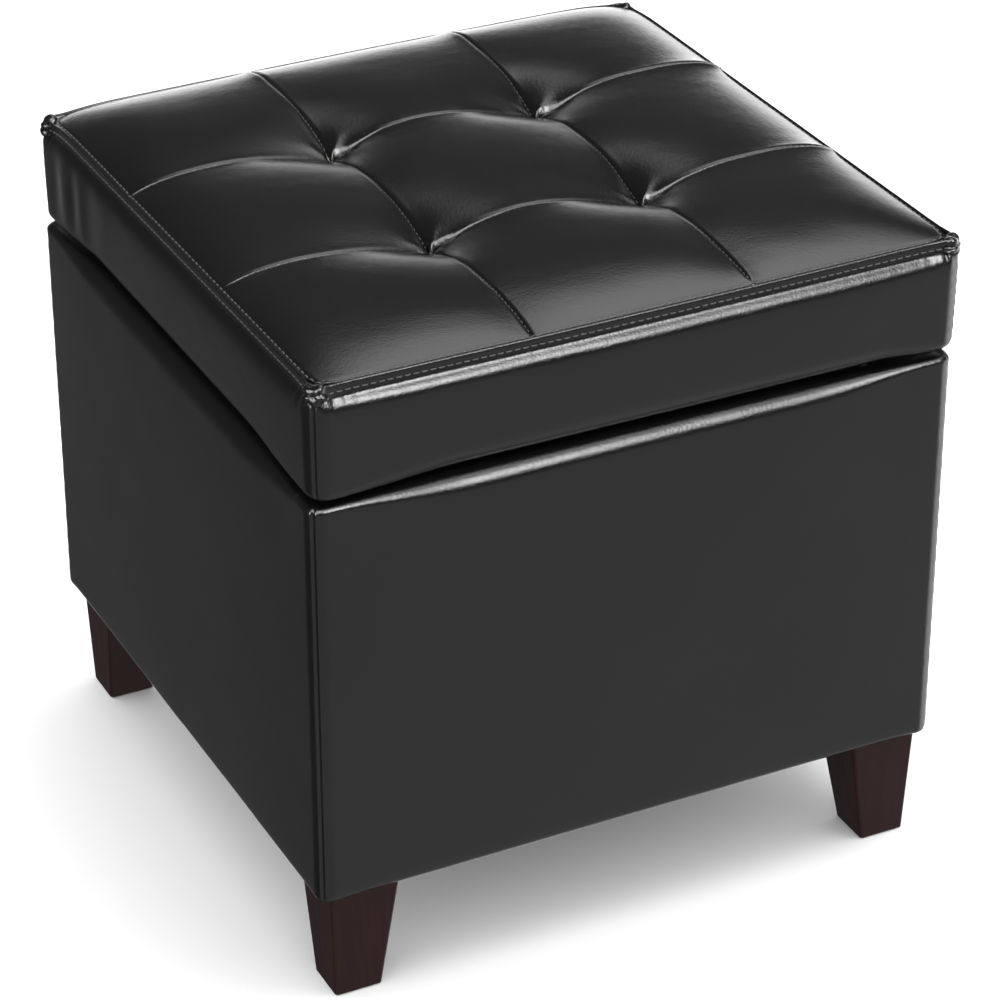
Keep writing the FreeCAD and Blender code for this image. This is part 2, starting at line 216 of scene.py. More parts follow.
def cushion():
    """Cover stretched over foam: a skin on a springy base, held down at the edge,
    along the sewn lines and at the four tufts."""
    k = np.arange(-KMAX, KMAX + 1)
    x = k * CELL
    X, Y = np.meshgrid(x, x, indexing="ij")
    foam = 450.4 + 2.3 * X / 213 - 3.0 * (X / 213) ** 2 - 2.0 * (Y / 213) ** 2
    foam = foam + 0.25 * waves(np.stack([X, Y, 0 * X], -1), 5, 140)
    Z = foam.copy()
    fixed = np.zeros(Z.shape, bool)
    val = np.zeros(Z.shape)
    edge = np.zeros(Z.shape, bool)
    edge[0], edge[-1], edge[:, 0], edge[:, -1] = True, True, True, True
    for s, pts in ROW.items():
        j = np.where(k == 73 * s)[0][0]
        fixed[:, j] = True
        val[:, j] = spline(pts, x)
    for s, pts in COL.items():
        i = np.where(k == 73 * s)[0][0]
        v = spline(pts, x)
        val[i] = np.where(fixed[i], (val[i] + v) / 2, v)
        fixed[i] = True
    fixed |= edge
    val = np.where(edge, edge_z(X, Y) + 0.2, val)
    Z[fixed] = val[fixed]
    kap = (CELL / 27.0) ** 2
    for _ in range(1500):
        n = Z.copy()
        n[1:-1, 1:-1] = (Z[2:, 1:-1] + Z[:-2, 1:-1] + Z[1:-1, 2:] + Z[1:-1, :-2] + kap * foam[1:-1, 1:-1]) / (4 + kap)
        n[fixed] = val[fixed]
        Z = n
    P = np.stack([X, Y, 0 * X], -1)
    inner = smooth01((213 - np.maximum(abs(X), abs(Y))) / 12)
    for s in (-1, 1):
        for D, A in ((X - s * T, Y), (Y - s * T, X)):
            Z += 0.16 * np.exp(-((abs(D) - 2.6) / 2.0) ** 2) * inner
            # the cover is eased into the seam with faint puckers
            Z += 0.07 * np.sin(A * 2 * math.pi / 9.0 + 1.3 * np.sin(A / 17.0)) * np.exp(-(abs(D) / 4.0)) * inner * (1 - np.exp(-(D / 1.5) ** 2))
    for sx in (-1, 1):
        for sy in (-1, 1):
            r = np.hypot(X - sx * T, Y - sy * T)
            th = np.arctan2(Y - sy * T, X - sx * T)
            Z += 0.45 * np.cos(8 * th + sx + sy) * np.exp(-((r - 9) / 7.0) ** 2)
            quad = np.clip(np.sin(2 * th), 0, 1) * (th > 0)
            Z += 4.2 * quad * (r / 5.6) * np.exp(1 - r / 5.6)
            Z += 1.3 * np.clip(-np.sin(2 * th), 0, 1) * (r / 7.5) * np.exp(1 - r / 7.5)
            Z -= 0.8 * np.exp(-(r / 2.0) ** 2)
    Z += 0.07 * waves(P, 8, 55) * inner + 0.018 * waves(P, 9, 17) * inner
    return k, x, X, Y, Z


GK, GX, GXX, GYY, GZ = cushion()


def top_at(x, y):
    fx = np.clip(np.asarray(x) / CELL + KMAX, 0, 2 * KMAX - 1e-6)
    fy = np.clip(np.asarray(y) / CELL + KMAX, 0, 2 * KMAX - 1e-6)
    i, j = fx.astype(int), fy.astype(int)
    a, b = fx - i, fy - j
    z = (GZ[i, j] * (1 - a) * (1 - b) + GZ[i + 1, j] * a * (1 - b) + GZ[i, j + 1] * (1 - a) * b + GZ[i + 1, j + 1] * a * b)
    # the sewn line itself: a narrow crease with a sharp bottom
    inner = smooth01((213 - np.maximum(abs(x), abs(y))) / 12)
    for s in (-1, 1):
        for D, A in ((x - s * T, y), (y - s * T, x)):
            z = z - (1.25 + 0.12 * np.sin(A * 0.9 + s)) * np.exp(-abs(D) / 0.85) * (0.4 + 0.6 * inner)
    # shallow channel where the row of stitches runs beside the edge
    m = KMAX * CELL - np.maximum(abs(x), abs(y))
    return z - 0.75 * np.exp(-((m - 1.9) / 0.95) ** 2)


def lines(fine):
    """Grid lines in mm, close together at the sewn lines and near the edge."""
    if not fine:
        return np.linspace(-KMAX * CELL, KMAX * CELL, 95)
    near = [0, 0.35, 0.8, 1.4, 2.1, 3.0, 4.1, 5.4, 7.0, 8.9, 11.2, 14.0, 17.2]
    e = KMAX * CELL
    rim = [0, 0.5, 1.0, 1.5, 2.0, 2.6, 3.3, 4.3, 5.6, 7.4, 9.7, 12.6]
    out = [T + d for d in near] + [T - d for d in near[1:]] + [e - d for d in rim]
    out += list(np.linspace(0, T - 17.2, 19)[:-1]) + list(np.linspace(T + 17.2, e - 12.6, 39)[1:-1])
    out = np.unique(np.round(out, 4))
    return np.concatenate([-out[::-1], out[1:]])


def corner_pull(x, y, a=3.0):
    """Rounds the plan's corners a little."""
    s = smooth01((np.abs(x) - 190) / 23.0) ** 2 * smooth01((np.abs(y) - 190) / 23.0) ** 2
    return x - np.sign(x) * a * s, y - np.sign(y) * a * s


def grid_block(name, ks, top, bottom):
    """Closed block: grid top and bottom over the same lines, joined round the edge."""
    X, Y = np.meshgrid(ks, ks, indexing="ij")
    n = len(ks)
    PX, PY = corner_pull(X, Y)
    A = np.stack([PX, PY, top(X, Y)], -1).reshape(-1, 3)
    B = np.stack([PX, PY, bottom(X, Y)], -1).reshape(-1, 3)
    i, j = np.meshgrid(np.arange(n - 1), np.arange(n - 1), indexing="ij")
    f = np.stack([i * n + j, (i + 1) * n + j, (i + 1) * n + j + 1, i * n + j + 1], -1).reshape(-1, 4)
    N = n * n
    g = f[:, ::-1] + N
    ring = np.concatenate([np.arange(n) * n, (n - 1) * n + np.arange(1, n), np.arange(n - 2, -1, -1) * n + n - 1, np.arange(n - 2, 0, -1)])
    nx = np.roll(ring, -1)
    w = np.stack([ring, ring + N, nx + N, nx], -1)
    return make(name, np.concatenate([A, B]), np.concatenate([f, g, w]), sharp=60)


# ------------------------------------------------------------------ lid pieces
top_cover = grid_block("tufted_top_cover", lines(True), top_at, lambda x, y: top_at(x, y) - 1.2)
foam_lines = lines(False)
foam_block = grid_block("lid_foam_block", foam_lines, lambda x, y: np.minimum(top_at(x, y) - 2.6, 449.5) - 1.5 * smooth01((np.maximum(abs(x), abs(y)) - 200) / 12),
                        lambda x, y: 0 * x + 374.0)

band = Loop(BAND_H, BAND_R)
ang = np.linspace(0, math.pi / 2, 12)
_p0 = band.at(5.3, 0)
ze = edge_z(_p0[:, 0], _p0[:, 1])
near_corner = np.exp(-(band.seam / 9.0) ** 2)
drop = SEAM_Z - 360.6
rb = 7.0 + 11.0 * smooth01(band.dc / 95.0)
_pf = band.at(0, 0)
front_half = smooth01((-_pf[:, 1] - 150) / 60)
rb_right = 11.0 + 7.0 * smooth01(band.dc / 45.0)
rb_left = 9.0 + 9.0 * smooth01(band.dc / 88.0)
rb = rb * (1 - front_half) + front_half * np.where(_pf[:, 0] > 0, rb_right, rb_left)
easy = smooth01(band.dc / 60.0)

PROF = [(6.4, 0.0), (5.6, 0.25), (5.25, -0.5), (5.2, -1.4), (5.15, -2.6), (5.25, -3.6), (5.5, -4.4), (5.25, -5.2), (5.15, -6.2), (4.95, -7.2),
        (4.5, -8.2), (3.75, -9.1), (2.8, -10.1), (1.9, -11.3), (1.12, -12.8), (0.55, -14.6), (0.2, -17.0), (0.05, -20.0), (0.0, -23.5)]
corner_ease = np.exp(-(band.seam / 15.0) ** 2)
rows, weight, zoff = [], [], []
for q, dz in PROF:
    up = 0.5 * near_corner * smooth01((dz + 16) / 16)
    out_ = 2.0 * corner_ease * smooth01((dz + 12) / 7)
    rows.append((q - out_, ze + dz * (1 - 0.18 * near_corner) + up))
    weight.append(smooth01((-dz - 6) / 8)); zoff.append(dz)
z_hi = rows[-1][1]
taper = 0.7
bot_q = taper
z_lo = 360.6 + rb
for f in np.linspace(0, 1, 24)[1:]:
    q = taper * f ** 1.6
    rows.append((q + 0 * rb, z_hi * (1 - f) + z_lo * f)); weight.append(1.0 - 0.6 * f); zoff.append(-23.5 - 40 * f)
for a in ang[1:]:
    rows.append((taper + rb * (1 - math.cos(a)), 360.6 + rb * (1 - math.sin(a)))); weight.append(0.4 * math.cos(a)); zoff.append(-70)
for q in (23.5, 26.5, BAND_H - 190.0):
    rows.append((q + 0 * rb, 360.6 + 0 * rb)); weight.append(0.0); zoff.append(-75)
inner = [(BAND_H - 190.0, 361.75), (24.0, 361.8)]
for q, z in inner:
    rows.append((q + 0 * rb, z + 0 * rb)); weight.append(0.0); zoff.append(-75)
for a in ang[::-3]:
    rows.append((taper + 1.2 + (rb - 1.2) * (1 - math.cos(a)), 361.8 + (rb - 1.2) * (1 - math.sin(a)))); weight.append(0.4 * math.cos(a)); zoff.append(-70)
for f in np.linspace(1, 0, 8)[1:]:
    rows.append((1.2 + taper * f ** 1.6, (z_hi - 1.0) * (1 - f) + (z_lo + 1) * f)); weight.append(1.0 - 0.6 * f); zoff.append(-23.5 - 40 * f)
for q, dz in ((1.9, -16), (3.4, -12.5), (5.4, -9.6), (6.2, -6.0), (6.5, -2.0)):
    rows.append((q + 0 * rb, ze + dz)); weight.append(0.3); zoff.append(dz)
weight, zoff = np.array(weight), np.array(zoff)
V0, F0, P0 = sweep("x", band, rows)
Pn = P0
along = np.where(band.kind == 0, band.t, 1.0)
zz = np.clip((Pn[:, :, 2] - 400) / 38.0, -1, 1)
shift = weight[:, None] * (0.9 * (1 - along ** 4)[None] * (1 - zz ** 2))
shift += weight[:, None] * (0.14 * waves(Pn, 21, 90) + 0.03 * waves(Pn, 22, 18)) * easy[None]
# short gathers just below the stitching, longer near the corners
gather = np.exp(-((zoff + 9.5) / 5.0) ** 2)[:, None] * (weight > 0.01)[:, None]
arcl = np.cumsum(np.linalg.norm(np.diff(band.at(0, 0)[:, :2], axis=0, append=band.at(0, 0)[:1, :2]), axis=1))
shift += gather * (0.05 + 0.20 * np.exp(-(band.dc / 26.0)))[None] * waves(np.column_stack([arcl, 0 * arcl, 0 * arcl]), 23, 4.5)[None]
# corner seams, with the cloth drawn in a little
side = smooth01((-zoff - 4) / 4)[:, None] * (weight > 0.05)[:, None]
groove = -0.95 * np.exp(-(band.seam / 0.75) ** 2) + 0.28 * np.exp(-((band.seam - 1.9) / 0.9) ** 2)
shift += side * groove[None]
shift += side * 0.22 * np.sin(Pn[:, :, 2] * 2 * math.pi / 8.5 + 1.5 * np.sin(Pn[:, :, 2] / 9)) * np.exp(-((band.seam - 3.2) / 2.6) ** 2)[None]
# slack folds at the far end of the left side, fainter ones elsewhere
left = (band.face == 3) & (band.kind == 0)
yl = Pn[:, :, 1]
zr = np.clip((Pn[:, :, 2] - 366) / 60, 0, 1)
fold = np.zeros_like(yl)
for c, w, h in ((190, 9, -0.9), (172, 9, 0.9), (157, 6, -0.9), (143, 7, 0.8), (127, 8, -0.5), (104, 12, 0.35)):
    lean = (Pn[:, :, 2] - 400) * 0.10
    fold += h * np.exp(-((yl - c + lean) / w) ** 2)
shift += fold * left[None] * np.sin(math.pi * zr) ** 0.8 * (weight > 0.25)[:, None]
knot = np.exp(-(band.seam / 5.2) ** 2)[None] * (smooth01((zoff + 11) / 6) * (zoff > -12))[:, None]
pleat = np.abs(np.sin(band.seam[None] * 0.95 + 0.35 * np.sin(zoff[:, None] * 0.9) + 0.8))
shift += knot * (1.5 * pleat - 0.2) * (1 - 0.5 * (zoff[:, None] > -1.0))
V, F, P = sweep("x", band, rows, shift)
side_band = make("quilted_lid_band", V, F, sharp=70)

# folded edge where the top cover meets the band: one round bead
bead_rows = []
br = 1.0
for a in np.linspace(0, 2 * math.pi, 11)[:-1]:
    bead_rows.append((5.75 - br * math.cos(a) - 2.0 * corner_ease, ze + 0.1 + 0.6 * near_corner + br * 0.85 * math.sin(a)))
V, F, P = sweep("x", band, bead_rows, 0.05 * waves(np.array([band.at(5.7, ze)] * 10), 31, 5))
bead = make("lid_edge_fold", V, F)


def knots():
    """Gathered leather where the edge seam turns each corner."""
    vs, fs = [], []
    nt_, nf = 22, 44
    for k in range(4):
        a = -3 * math.pi / 4 + k * math.pi / 2
        ax = np.array([math.cos(a), math.sin(a), 0.22])
        ax /= np.linalg.norm(ax)
        e1 = np.array([-math.sin(a), math.cos(a), 0.0])
        e2 = np.cross(ax, e1)
        sx, sy = math.copysign(1, math.cos(a)), math.copysign(1, math.sin(a))
        c = np.array([sx * 212.4, sy * 212.4, float(edge_z(sx * 212.0, sy * 212.0)) - 4.6])
        base = len(vs)
        for i in range(nt_ + 1):
            t = math.pi * i / nt_
            for j in range(nf):
                f = 2 * math.pi * j / nf
                w = math.sin(t) ** 2
                r = 1 + 0.15 * math.cos(5 * f + 0.8 + k + 0.5 * math.sin(2 * f)) * w - 0.30 * math.exp(-(t / 0.42) ** 2)
                r -= 0.20 * math.exp(-((abs(math.sin(f / 1.0 + 0.1)) * math.sin(t)) / 0.10) ** 2) * (math.cos(f) < 0.2)
                vs.append(c + r * (ax * 5.9 * math.cos(t) + e1 * 7.7 * math.sin(t) * math.cos(f) + e2 * 6.9 * math.sin(t) * math.sin(f)))
        for i in range(nt_):
            for j in range(nf):
                j2 = (j + 1) % nf
                q = [base + i * nf + j, base + (i + 1) * nf + j, base + (i + 1) * nf + j2, base + i * nf + j2]
                fs.append(q)
    return make("corner_gathers", vs, fs)


gathers = knots()

# ------------------------------------------------------------------- stitching
def stitches(name, path, normal, pitch=5.4, length=4.1, r=0.42, sink=0.12, close=True, lift=0.22):
    """Separate thread stitches laid along a path of points; their ends dive into the cover."""
    path, normal = np.asarray(path, float), np.asarray(normal, float)
    if close:
        path = np.vstack([path, path[:1]])
        normal = np.vstack([normal, normal[:1]])
    seg = np.linalg.norm(np.diff(path, axis=0), axis=1)
    s = np.concatenate([[0], np.cumsum(seg)])
    n = int(s[-1] // pitch)
    pitch = s[-1] / n

    def at(v, arr):
        v = np.asarray(v) % s[-1] if close else np.clip(v, 0, s[-1])
        return np.stack([np.interp(v, s, arr[:, c]) for c in range(3)], -1)

    us = np.array([-1, -0.86, -0.5, 0, 0.5, 0.86, 1.0])
    hs = np.array([-0.75, -0.18, 0.10, 0.2, 0.10, -0.18, -0.75])
    rs = np.array([0.55, 0.9, 1.0, 1.0, 1.0, 0.9, 0.55])
    m = 7
    verts, faces = [], []
    for i in range(n):
        c = (i + 0.5) * pitch
        q = at(c + us * length / 2, path)
        nn = at(c + us * length / 2, normal)
        nn /= np.linalg.norm(nn, axis=1)[:, None]
        tt = np.gradient(q, axis=0)
        tt /= np.maximum(np.linalg.norm(tt, axis=1)[:, None], 1e-9)
        bb = np.cross(tt, nn)
        bb /= np.maximum(np.linalg.norm(bb, axis=1)[:, None], 1e-9)
        base = len(verts)
        for k in range(len(us)):
            o = q[k] + nn[k] * (lift * 0 - sink + hs[k] * 1.3 + r * 0.35)
            for a in range(m):
                t = 2 * math.pi * a / m
                verts.append(o + rs[k] * r * (math.cos(t) * bb[k] + math.sin(t) * nn[k] * 0.8))
        for k in range(len(us) - 1):
            for a in range(m):
                b = (a + 1) % m
                faces.append([base + k * m + a, base + k * m + b, base + (k + 1) * m + b, base + (k + 1) * m + a])
        faces.append([base + a for a in range(m)][::-1])
        faces.append([base + (len(us) - 1) * m + a for a in range(m)])
    return make(name, verts, faces)


keep = band.seam > 3.0
strip = band.at(5.35 - 2.0 * corner_ease, ze - 4.4)
nrm = np.column_stack([band.n, np.full(band.count, 0.15)])
lower = stitches("lid_band_stitches", strip[keep], nrm[keep])
hh = 211.07
loop2 = Loop(hh, 3.0)
pu = loop2.at(0, 0)
e = 0.8
gx = (top_at(pu[:, 0] + e, pu[:, 1]) - top_at(pu[:, 0] - e, pu[:, 1])) / (2 * e)
gy = (top_at(pu[:, 0], pu[:, 1] + e) - top_at(pu[:, 0], pu[:, 1] - e)) / (2 * e)
pu[:, 2] = top_at(pu[:, 0], pu[:, 1])
gn = np.column_stack([-gx, -gy, np.ones(len(gx))])
gn /= np.linalg.norm(gn, axis=1)[:, None]
pu[:, 0], pu[:, 1] = corner_pull(pu[:, 0], pu[:, 1])
upper = stitches("lid_top_stitches", pu, gn, length=3.7, r=0.46)
quilt = []
for s in (-1, 1):
    for horiz in (True, False):
        a = np.arange(-207, 207.1, 1.0)
        b = np.full_like(a, s * T)
        px, py = (a, b) if horiz else (b, a)
        away = np.minimum(abs(a - T), abs(a + T)) > 5.0
        z = top_at(px, py)
        pts = np.column_stack([px, py, z + 0.1])
        for lo, hi in ((-207, -T - 5), (-T + 5, T - 5), (T + 5, 207)):
            m = (a >= lo) & (a <= hi)
            quilt.append(pts[m])


def quilt_mesh():
    vs, fs, off = [], [], 0
    for p in quilt:
        ob = stitches("tmp", p, np.tile([0, 0, 1.0], (len(p), 1)), pitch=4.2, length=3.1, r=0.27, sink=0.0, close=False)
        v = np.zeros(len(ob.data.vertices) * 3)
        ob.data.vertices.foreach_get("co", v)
        vs.append(v.reshape(-1, 3) / MM)
        fs += [[i + off for i in f.vertices] for f in ob.data.polygons]
        off += len(ob.data.vertices)
        me = ob.data
        bpy.data.objects.remove(ob)
        bpy.data.meshes.remove(me)
    return make("quilting_stitches", np.concatenate(vs), fs)


quilting = quilt_mesh()

# ------------------------------------------------------------------- box cover
BH, BR = 217.4, 10.5
body = Loop(BH, BR)
dcs = smooth01(body.dc / 95.0)
rt = 4.2 + 8.3 * dcs
rbm = 6.0
RV = 0.97                 # the rim is rounded further down than in
one = np.ones(body.count)
rows, w, hem = [], [], []


def add(q, z, wt, hm=0.0):
    rows.append((q * one, z * one)); w.append(wt); hem.append(hm)


LIP = BH - 195.4            # the cover turns over the rim and down inside the boards
for z in (323.0, 324.2, 327.0, 335.0, 344.0, 350.0):
    add(LIP, z, 0.0)
for a in np.linspace(0, math.pi / 2, 6):
    add(LIP - 2.4 + 2.4 * math.cos(a), 354.6 + 2.4 * math.sin(a), 0.0)
for f in (0.35, 0.7):
    add((LIP - 2.4) * (1 - f) + rt * f, 357.0, 0.0)
for a in np.linspace(0, math.pi / 2, 15):
    add(rt * (1 - math.sin(a)), 357.0 - RV * rt * (1 - math.cos(a)), math.sin(a))
ztop, zbot = 357.0 - RV * rt, 79.8 + rbm
for f in np.linspace(0, 1, 44)[1:-1]:
    add(0.0, ztop * (1 - f) + zbot * f, 1.0)
for a in np.linspace(0, math.pi / 2, 7):
    add(rbm * (1 - math.cos(a)), zbot - rbm * math.sin(a), math.cos(a))
for q in (10.0, BH - 201.8):
    add(q, 79.8, 0.0)
add(BH - 201.8, 80.98, 0.0); add(9.5, 80.98, 0.0)
for a in np.linspace(math.pi / 2, 0, 4):
    add(1.2 + 4.8 * (1 - math.cos(a)), zbot - 4.8 * math.sin(a), 0.5)
for f in (0.8, 0.5, 0.2):
    add(1.2, ztop * (1 - f) + zbot * f, 0.5)
for a in np.linspace(math.pi / 2, 0, 5):
    add(1.2 + (rt - 1.2) * (1 - math.sin(a)), 355.8 - (RV * rt - 1.2) * (1 - math.cos(a)), 0.2)
LIN = BH - 196.55
add(LIN - 0.8, 355.8, 0.0); add(LIN, 354.6, 0.0); add(LIN, 340.0, 0.0); add(LIN, 323.0, 0.0)
w = np.array(w)
V0, F0, P0 = sweep("x", body, rows)
al = np.where(body.kind == 0, body.t, 1.0)
zc = np.clip((P0[:, :, 2] - 218) / 138.0, -1, 1)
shift = w[:, None] * (1.3 * (1 - al ** 4)[None] * (1 - zc ** 4))
bs = smooth01(body.dc / 40.0)[None]
shift += w[:, None] * (0.16 * waves(P0, 41, 170) + 0.04 * waves(P0, 42, 50) + 0.012 * waves(P0, 43, 14)) * (0.25 + 0.75 * bs)
groove = -0.95 * np.exp(-(body.seam / 0.75) ** 2) + 0.28 * np.exp(-((body.seam - 1.9) / 0.9) ** 2)
shift += w[:, None] * groove[None]
zp = P0[:, :, 2]
shift += w[:, None] * 0.20 * np.sin(zp * 2 * math.pi / 11.0 + 2.0 * np.sin(zp / 23)) * np.exp(-((body.seam - 3.4) / 2.8) ** 2)[None]
# hem line just above the bottom edge
shift += w[:, None] * (-0.35) * np.exp(-((zp - 88.0) / 0.9) ** 2)
V, F, P = sweep("box_cover", body, rows, shift)
# the padding is a little fuller on the left side; the cover sags over the legs
V[:, 0] -= 2.6 * smooth01((-V[:, 0] - 199) / 9)
sag = np.exp(-(body.seam / 17.0) ** 2)[None] * (np.clip(w, 0, 1)[:, None] * smooth01((104 - P[:, :, 2]) / 24))
V[:, 2] -= 1.9 * sag.reshape(-1)
V[:, 2] += 1.3 * smooth01((-V[:, 1] - 189) / 7) * smooth01((V[:, 2] - 325) / 26)
box_cover = make("upholstered_box_cover", V, F, sharp=70)


def padding(name, k):
    """One side's wadding, following the cover at the rounded top and bottom edges."""
    sel = np.where((body.kind == 0) & (body.face == k))[0][::3]
    prof = [(19.0 - 11.2, 82.0), (3.6, 83.2), (2.6, 88.0), (2.5, 150.0), (2.5, 220.0), (2.5, 290.0)]
    loops = []
    for i in sel:
        r = rt[i]
        pts = list(prof)
        for a in np.linspace(0, math.pi / 2, 9):
            q = 2.5 + (r - 1.0) * (1 - math.cos(a))
            pts.append((min(q, 7.75), 355.0 - RV * r + (RV * r - 1.6) * math.sin(a)))
        pts += [(7.8, 355.0 - r * 0.2), (7.8, 220.0), (7.8, 82.0)]
        n, u = body.n[i], body.u[i]
        c = (BH - 12.5) * body.t[i]
        loops.append([[*(n * (BH - q) + u * c), z] for q, z in pts])
    L = np.array(loops)
    m, kk = L.shape[:2]
    F = [[i * kk + j, i * kk + (j + 1) % kk, (i + 1) * kk + (j + 1) % kk, (i + 1) * kk + j] for i in range(m - 1) for j in range(kk)]
    F.append(list(range(kk))[::-1])
    F.append([(m - 1) * kk + j for j in range(kk)])
    return make(name, L.reshape(-1, 3), F, sharp=50)


# -------------------------------------------------------------------- linings
def sheet_block(name, half, n, ztop, zbot):
    x = np.linspace(-half, half, n)
    X, Y = np.meshgrid(x, x, indexing="ij")
    A = np.stack([X, Y, ztop(X, Y)], -1).reshape(-1, 3)
    B = np.stack([X, Y, zbot(X, Y)], -1).reshape(-1, 3)
    i, j = np.meshgrid(np.arange(n - 1), np.arange(n - 1), indexing="ij")
    f = np.stack([i * n + j, (i + 1) * n + j, (i + 1) * n + j + 1, i * n + j + 1], -1).reshape(-1, 4)
    N = n * n
    ring = np.concatenate([np.arange(n) * n, (n - 1) * n + np.arange(1, n), np.arange(n - 2, -1, -1) * n + n - 1, np.arange(n - 2, 0, -1)])
    nx = np.roll(ring, -1)
    return make(name, np.concatenate([A, B]), np.concatenate([f, f[:, ::-1] + N, np.stack([ring, ring + N, nx + N, nx], -1)]), sharp=60)


def crease(X, Y, seed, size):
    v = waves(np.stack([X, Y, 0 * X], -1), seed, size)
    return 1 - np.sqrt(v * v + 0.04)


floor_lining = sheet_block("storage_floor_lining", 195.6, 90,
                           lambda X, Y: 118.85 + 0.45 * (crease(X, Y, 61, 90) + 1.4) * smooth01((195 - np.maximum(abs(X), abs(Y))) / 25),
                           lambda X, Y: 118.0 + 0 * X)
lid_dust = sheet_block("lid_underside_cloth", 189.7, 90,
                       lambda X, Y: 361.78 + 0 * X,
                       lambda X, Y: 361.0 - 0.35 * (crease(X, Y, 62, 80) + 1.4) * smooth01((189 - np.maximum(abs(X), abs(Y))) / 20))
under_dust = sheet_block("box_underside_cloth", 206.6, 100,
                         lambda X, Y: 79.75 - 1.9 * smooth01((206 - np.maximum(abs(X), abs(Y))) / 120) * smooth01(1.6 - (abs(X) + abs(Y)) / 330) ,
                         lambda X, Y: 79.0 - (2.0 + 0.5 * crease(X, Y, 63, 70)) * smooth01((206 - np.maximum(abs(X), abs(Y))) / 120) * smooth01(1.6 - (abs(X) + abs(Y)) / 330))
wl = Loop(196.55, 1.6, arc=6, near=2.0, far=5.0)
rows = []
zs = np.linspace(118.9, 323.4, 34)
for z in zs:
    rows.append((0.85, z))
for z in (323.4, 240.0, 180.0, 118.9):
    rows.append((0.0, z))
V0, F0, P0 = sweep("x", wl, rows)
v = waves(P0, 71, 120)
sh = np.zeros(P0.shape[:2])
sh[:34] = -(0.55 * (1.5 - np.sqrt(v[:34] ** 2 + 0.05)).clip(0)) * (np.sin(np.linspace(0, math.pi, 34)) ** 0.7)[:, None] * smooth01(wl.dc / 20)[None]
V, F, P = sweep("x", wl, rows, sh)
wall_lining = make("storage_wall_lining", V, flip(F), sharp=60)


def staples(name, half, z, down, count=9):
    """Flat-wire staples: a crown with two legs that go into the board."""
    vs, fs = [], []
    r = np.random.RandomState(7)
    for k in range(4):
        a = -math.pi / 2 + k * math.pi / 2
        n = np.array([math.cos(a), math.sin(a), 0])
        u = np.array([-n[1], n[0], 0])
        for i in range(count):
            t = (-1 + 2 * (i + 0.5) / count) * (half - 26) + r.uniform(-3, 3)
            tilt = r.uniform(-0.16, 0.16)
            d = u * math.cos(tilt) + n * math.sin(tilt)
            b = np.cross([0, 0, 1.0], d)
            c = n * (half - 4.0 + r.uniform(-0.8, 0.8)) + u * t
            pts = []
            for lx, lz in ((-4.6, -1.5), (-4.6, 0.10), (-4.25, 0.42), (4.25, 0.42), (4.6, 0.10), (4.6, -1.5)):
                pts.append(np.array([c[0], c[1], z]) + d * lx - np.array([0, 0, lz * down]))
            base = len(vs)
            for j, p in enumerate(pts):
                up = np.array([0, 0, 1.0]) if 1 < j < 4 else d * (1 if j > 2 else -1)
                for sb, su in ((-1, -1), (1, -1), (1, 1), (-1, 1)):
                    vs.append(p + b * sb * 0.45 + up * su * 0.22)
            for j in range(len(pts) - 1):
                for m in range(4):
                    m2 = (m + 1) % 4
                    fs.append([base + j * 4 + m, base + j * 4 + m2, base + (j + 1) * 4 + m2, base + (j + 1) * 4 + m])
            fs.append([base + m for m in range(4)][::-1])
            fs.append([base + (len(pts) - 1) * 4 + m for m in range(4)])
    return make(name, vs, fs, smooth=False)


under_staples = staples("box_underside_staples", 204.0, 79.0, 1)
lid_staples = staples("lid_underside_staples", 188.0, 361.0, 1)


# ------------------------------------------------------------------- materials
def new_mat(name):
    m = bpy.data.materials.new(name)
    m.use_nodes = True
    nt = m.node_tree
    b = nt.nodes["Principled BSDF"]
    tc = nt.nodes.new("ShaderNodeTexCoord")
    return m, nt, b, tc.outputs["Object"]


def tex(nt, kind, co, scale, **kw):
    n = nt.nodes.new(kind)
    n.inputs["Scale"].default_value = scale
    nt.links.new(co, n.inputs["Vector"])
    for k, v in kw.items():
        if hasattr(n, k):
            setattr(n, k, v)
        else:
            n.inputs[k].default_value = v
    return n


def ramp(nt, fac, stops):
    r = nt.nodes.new("ShaderNodeValToRGB")
    cr = r.color_ramp
    while len(cr.elements) < len(stops):
        cr.elements.new(0.5)
    for e, (p, c) in zip(cr.elements, stops):
        e.position = p
        e.color = (*c, 1) if len(c) == 3 else c
    nt.links.new(fac, r.inputs["Fac"])
    return r.outputs["Color"]


def remap(nt, v, a, b, c, d):
    n = nt.nodes.new("ShaderNodeMapRange")
    n.inputs["From Min"].default_value = a
    n.inputs["From Max"].default_value = b
    n.inputs["To Min"].default_value = c
    n.inputs["To Max"].default_value = d
    nt.links.new(v, n.inputs["Value"])
    return n.outputs["Result"]


def math_(nt, op, a, b):
    n = nt.nodes.new("ShaderNodeMath")
    n.operation = op
    for s, v in zip(n.inputs, (a, b)):
        if isinstance(v, (int, float)):
            s.default_value = v
        else:
            nt.links.new(v, s)
    return n.outputs[0]


def bump(nt, b, height, strength, dist, before=None):
    n = nt.nodes.new("ShaderNodeBump")
    n.inputs["Strength"].default_value = strength
    n.inputs["Distance"].default_value = dist
    nt.links.new(height, n.inputs["Height"])
    if before is not None:
        nt.links.new(before, n.inputs["Normal"])
    nt.links.new(n.outputs["Normal"], b.inputs["Normal"])
    return n.outputs["Normal"]


def stretch(nt, co, s):
    n = nt.nodes.new("ShaderNodeMapping")
    n.inputs["Scale"].default_value = s
    nt.links.new(co, n.inputs["Vector"])
    return n.outputs["Vector"]


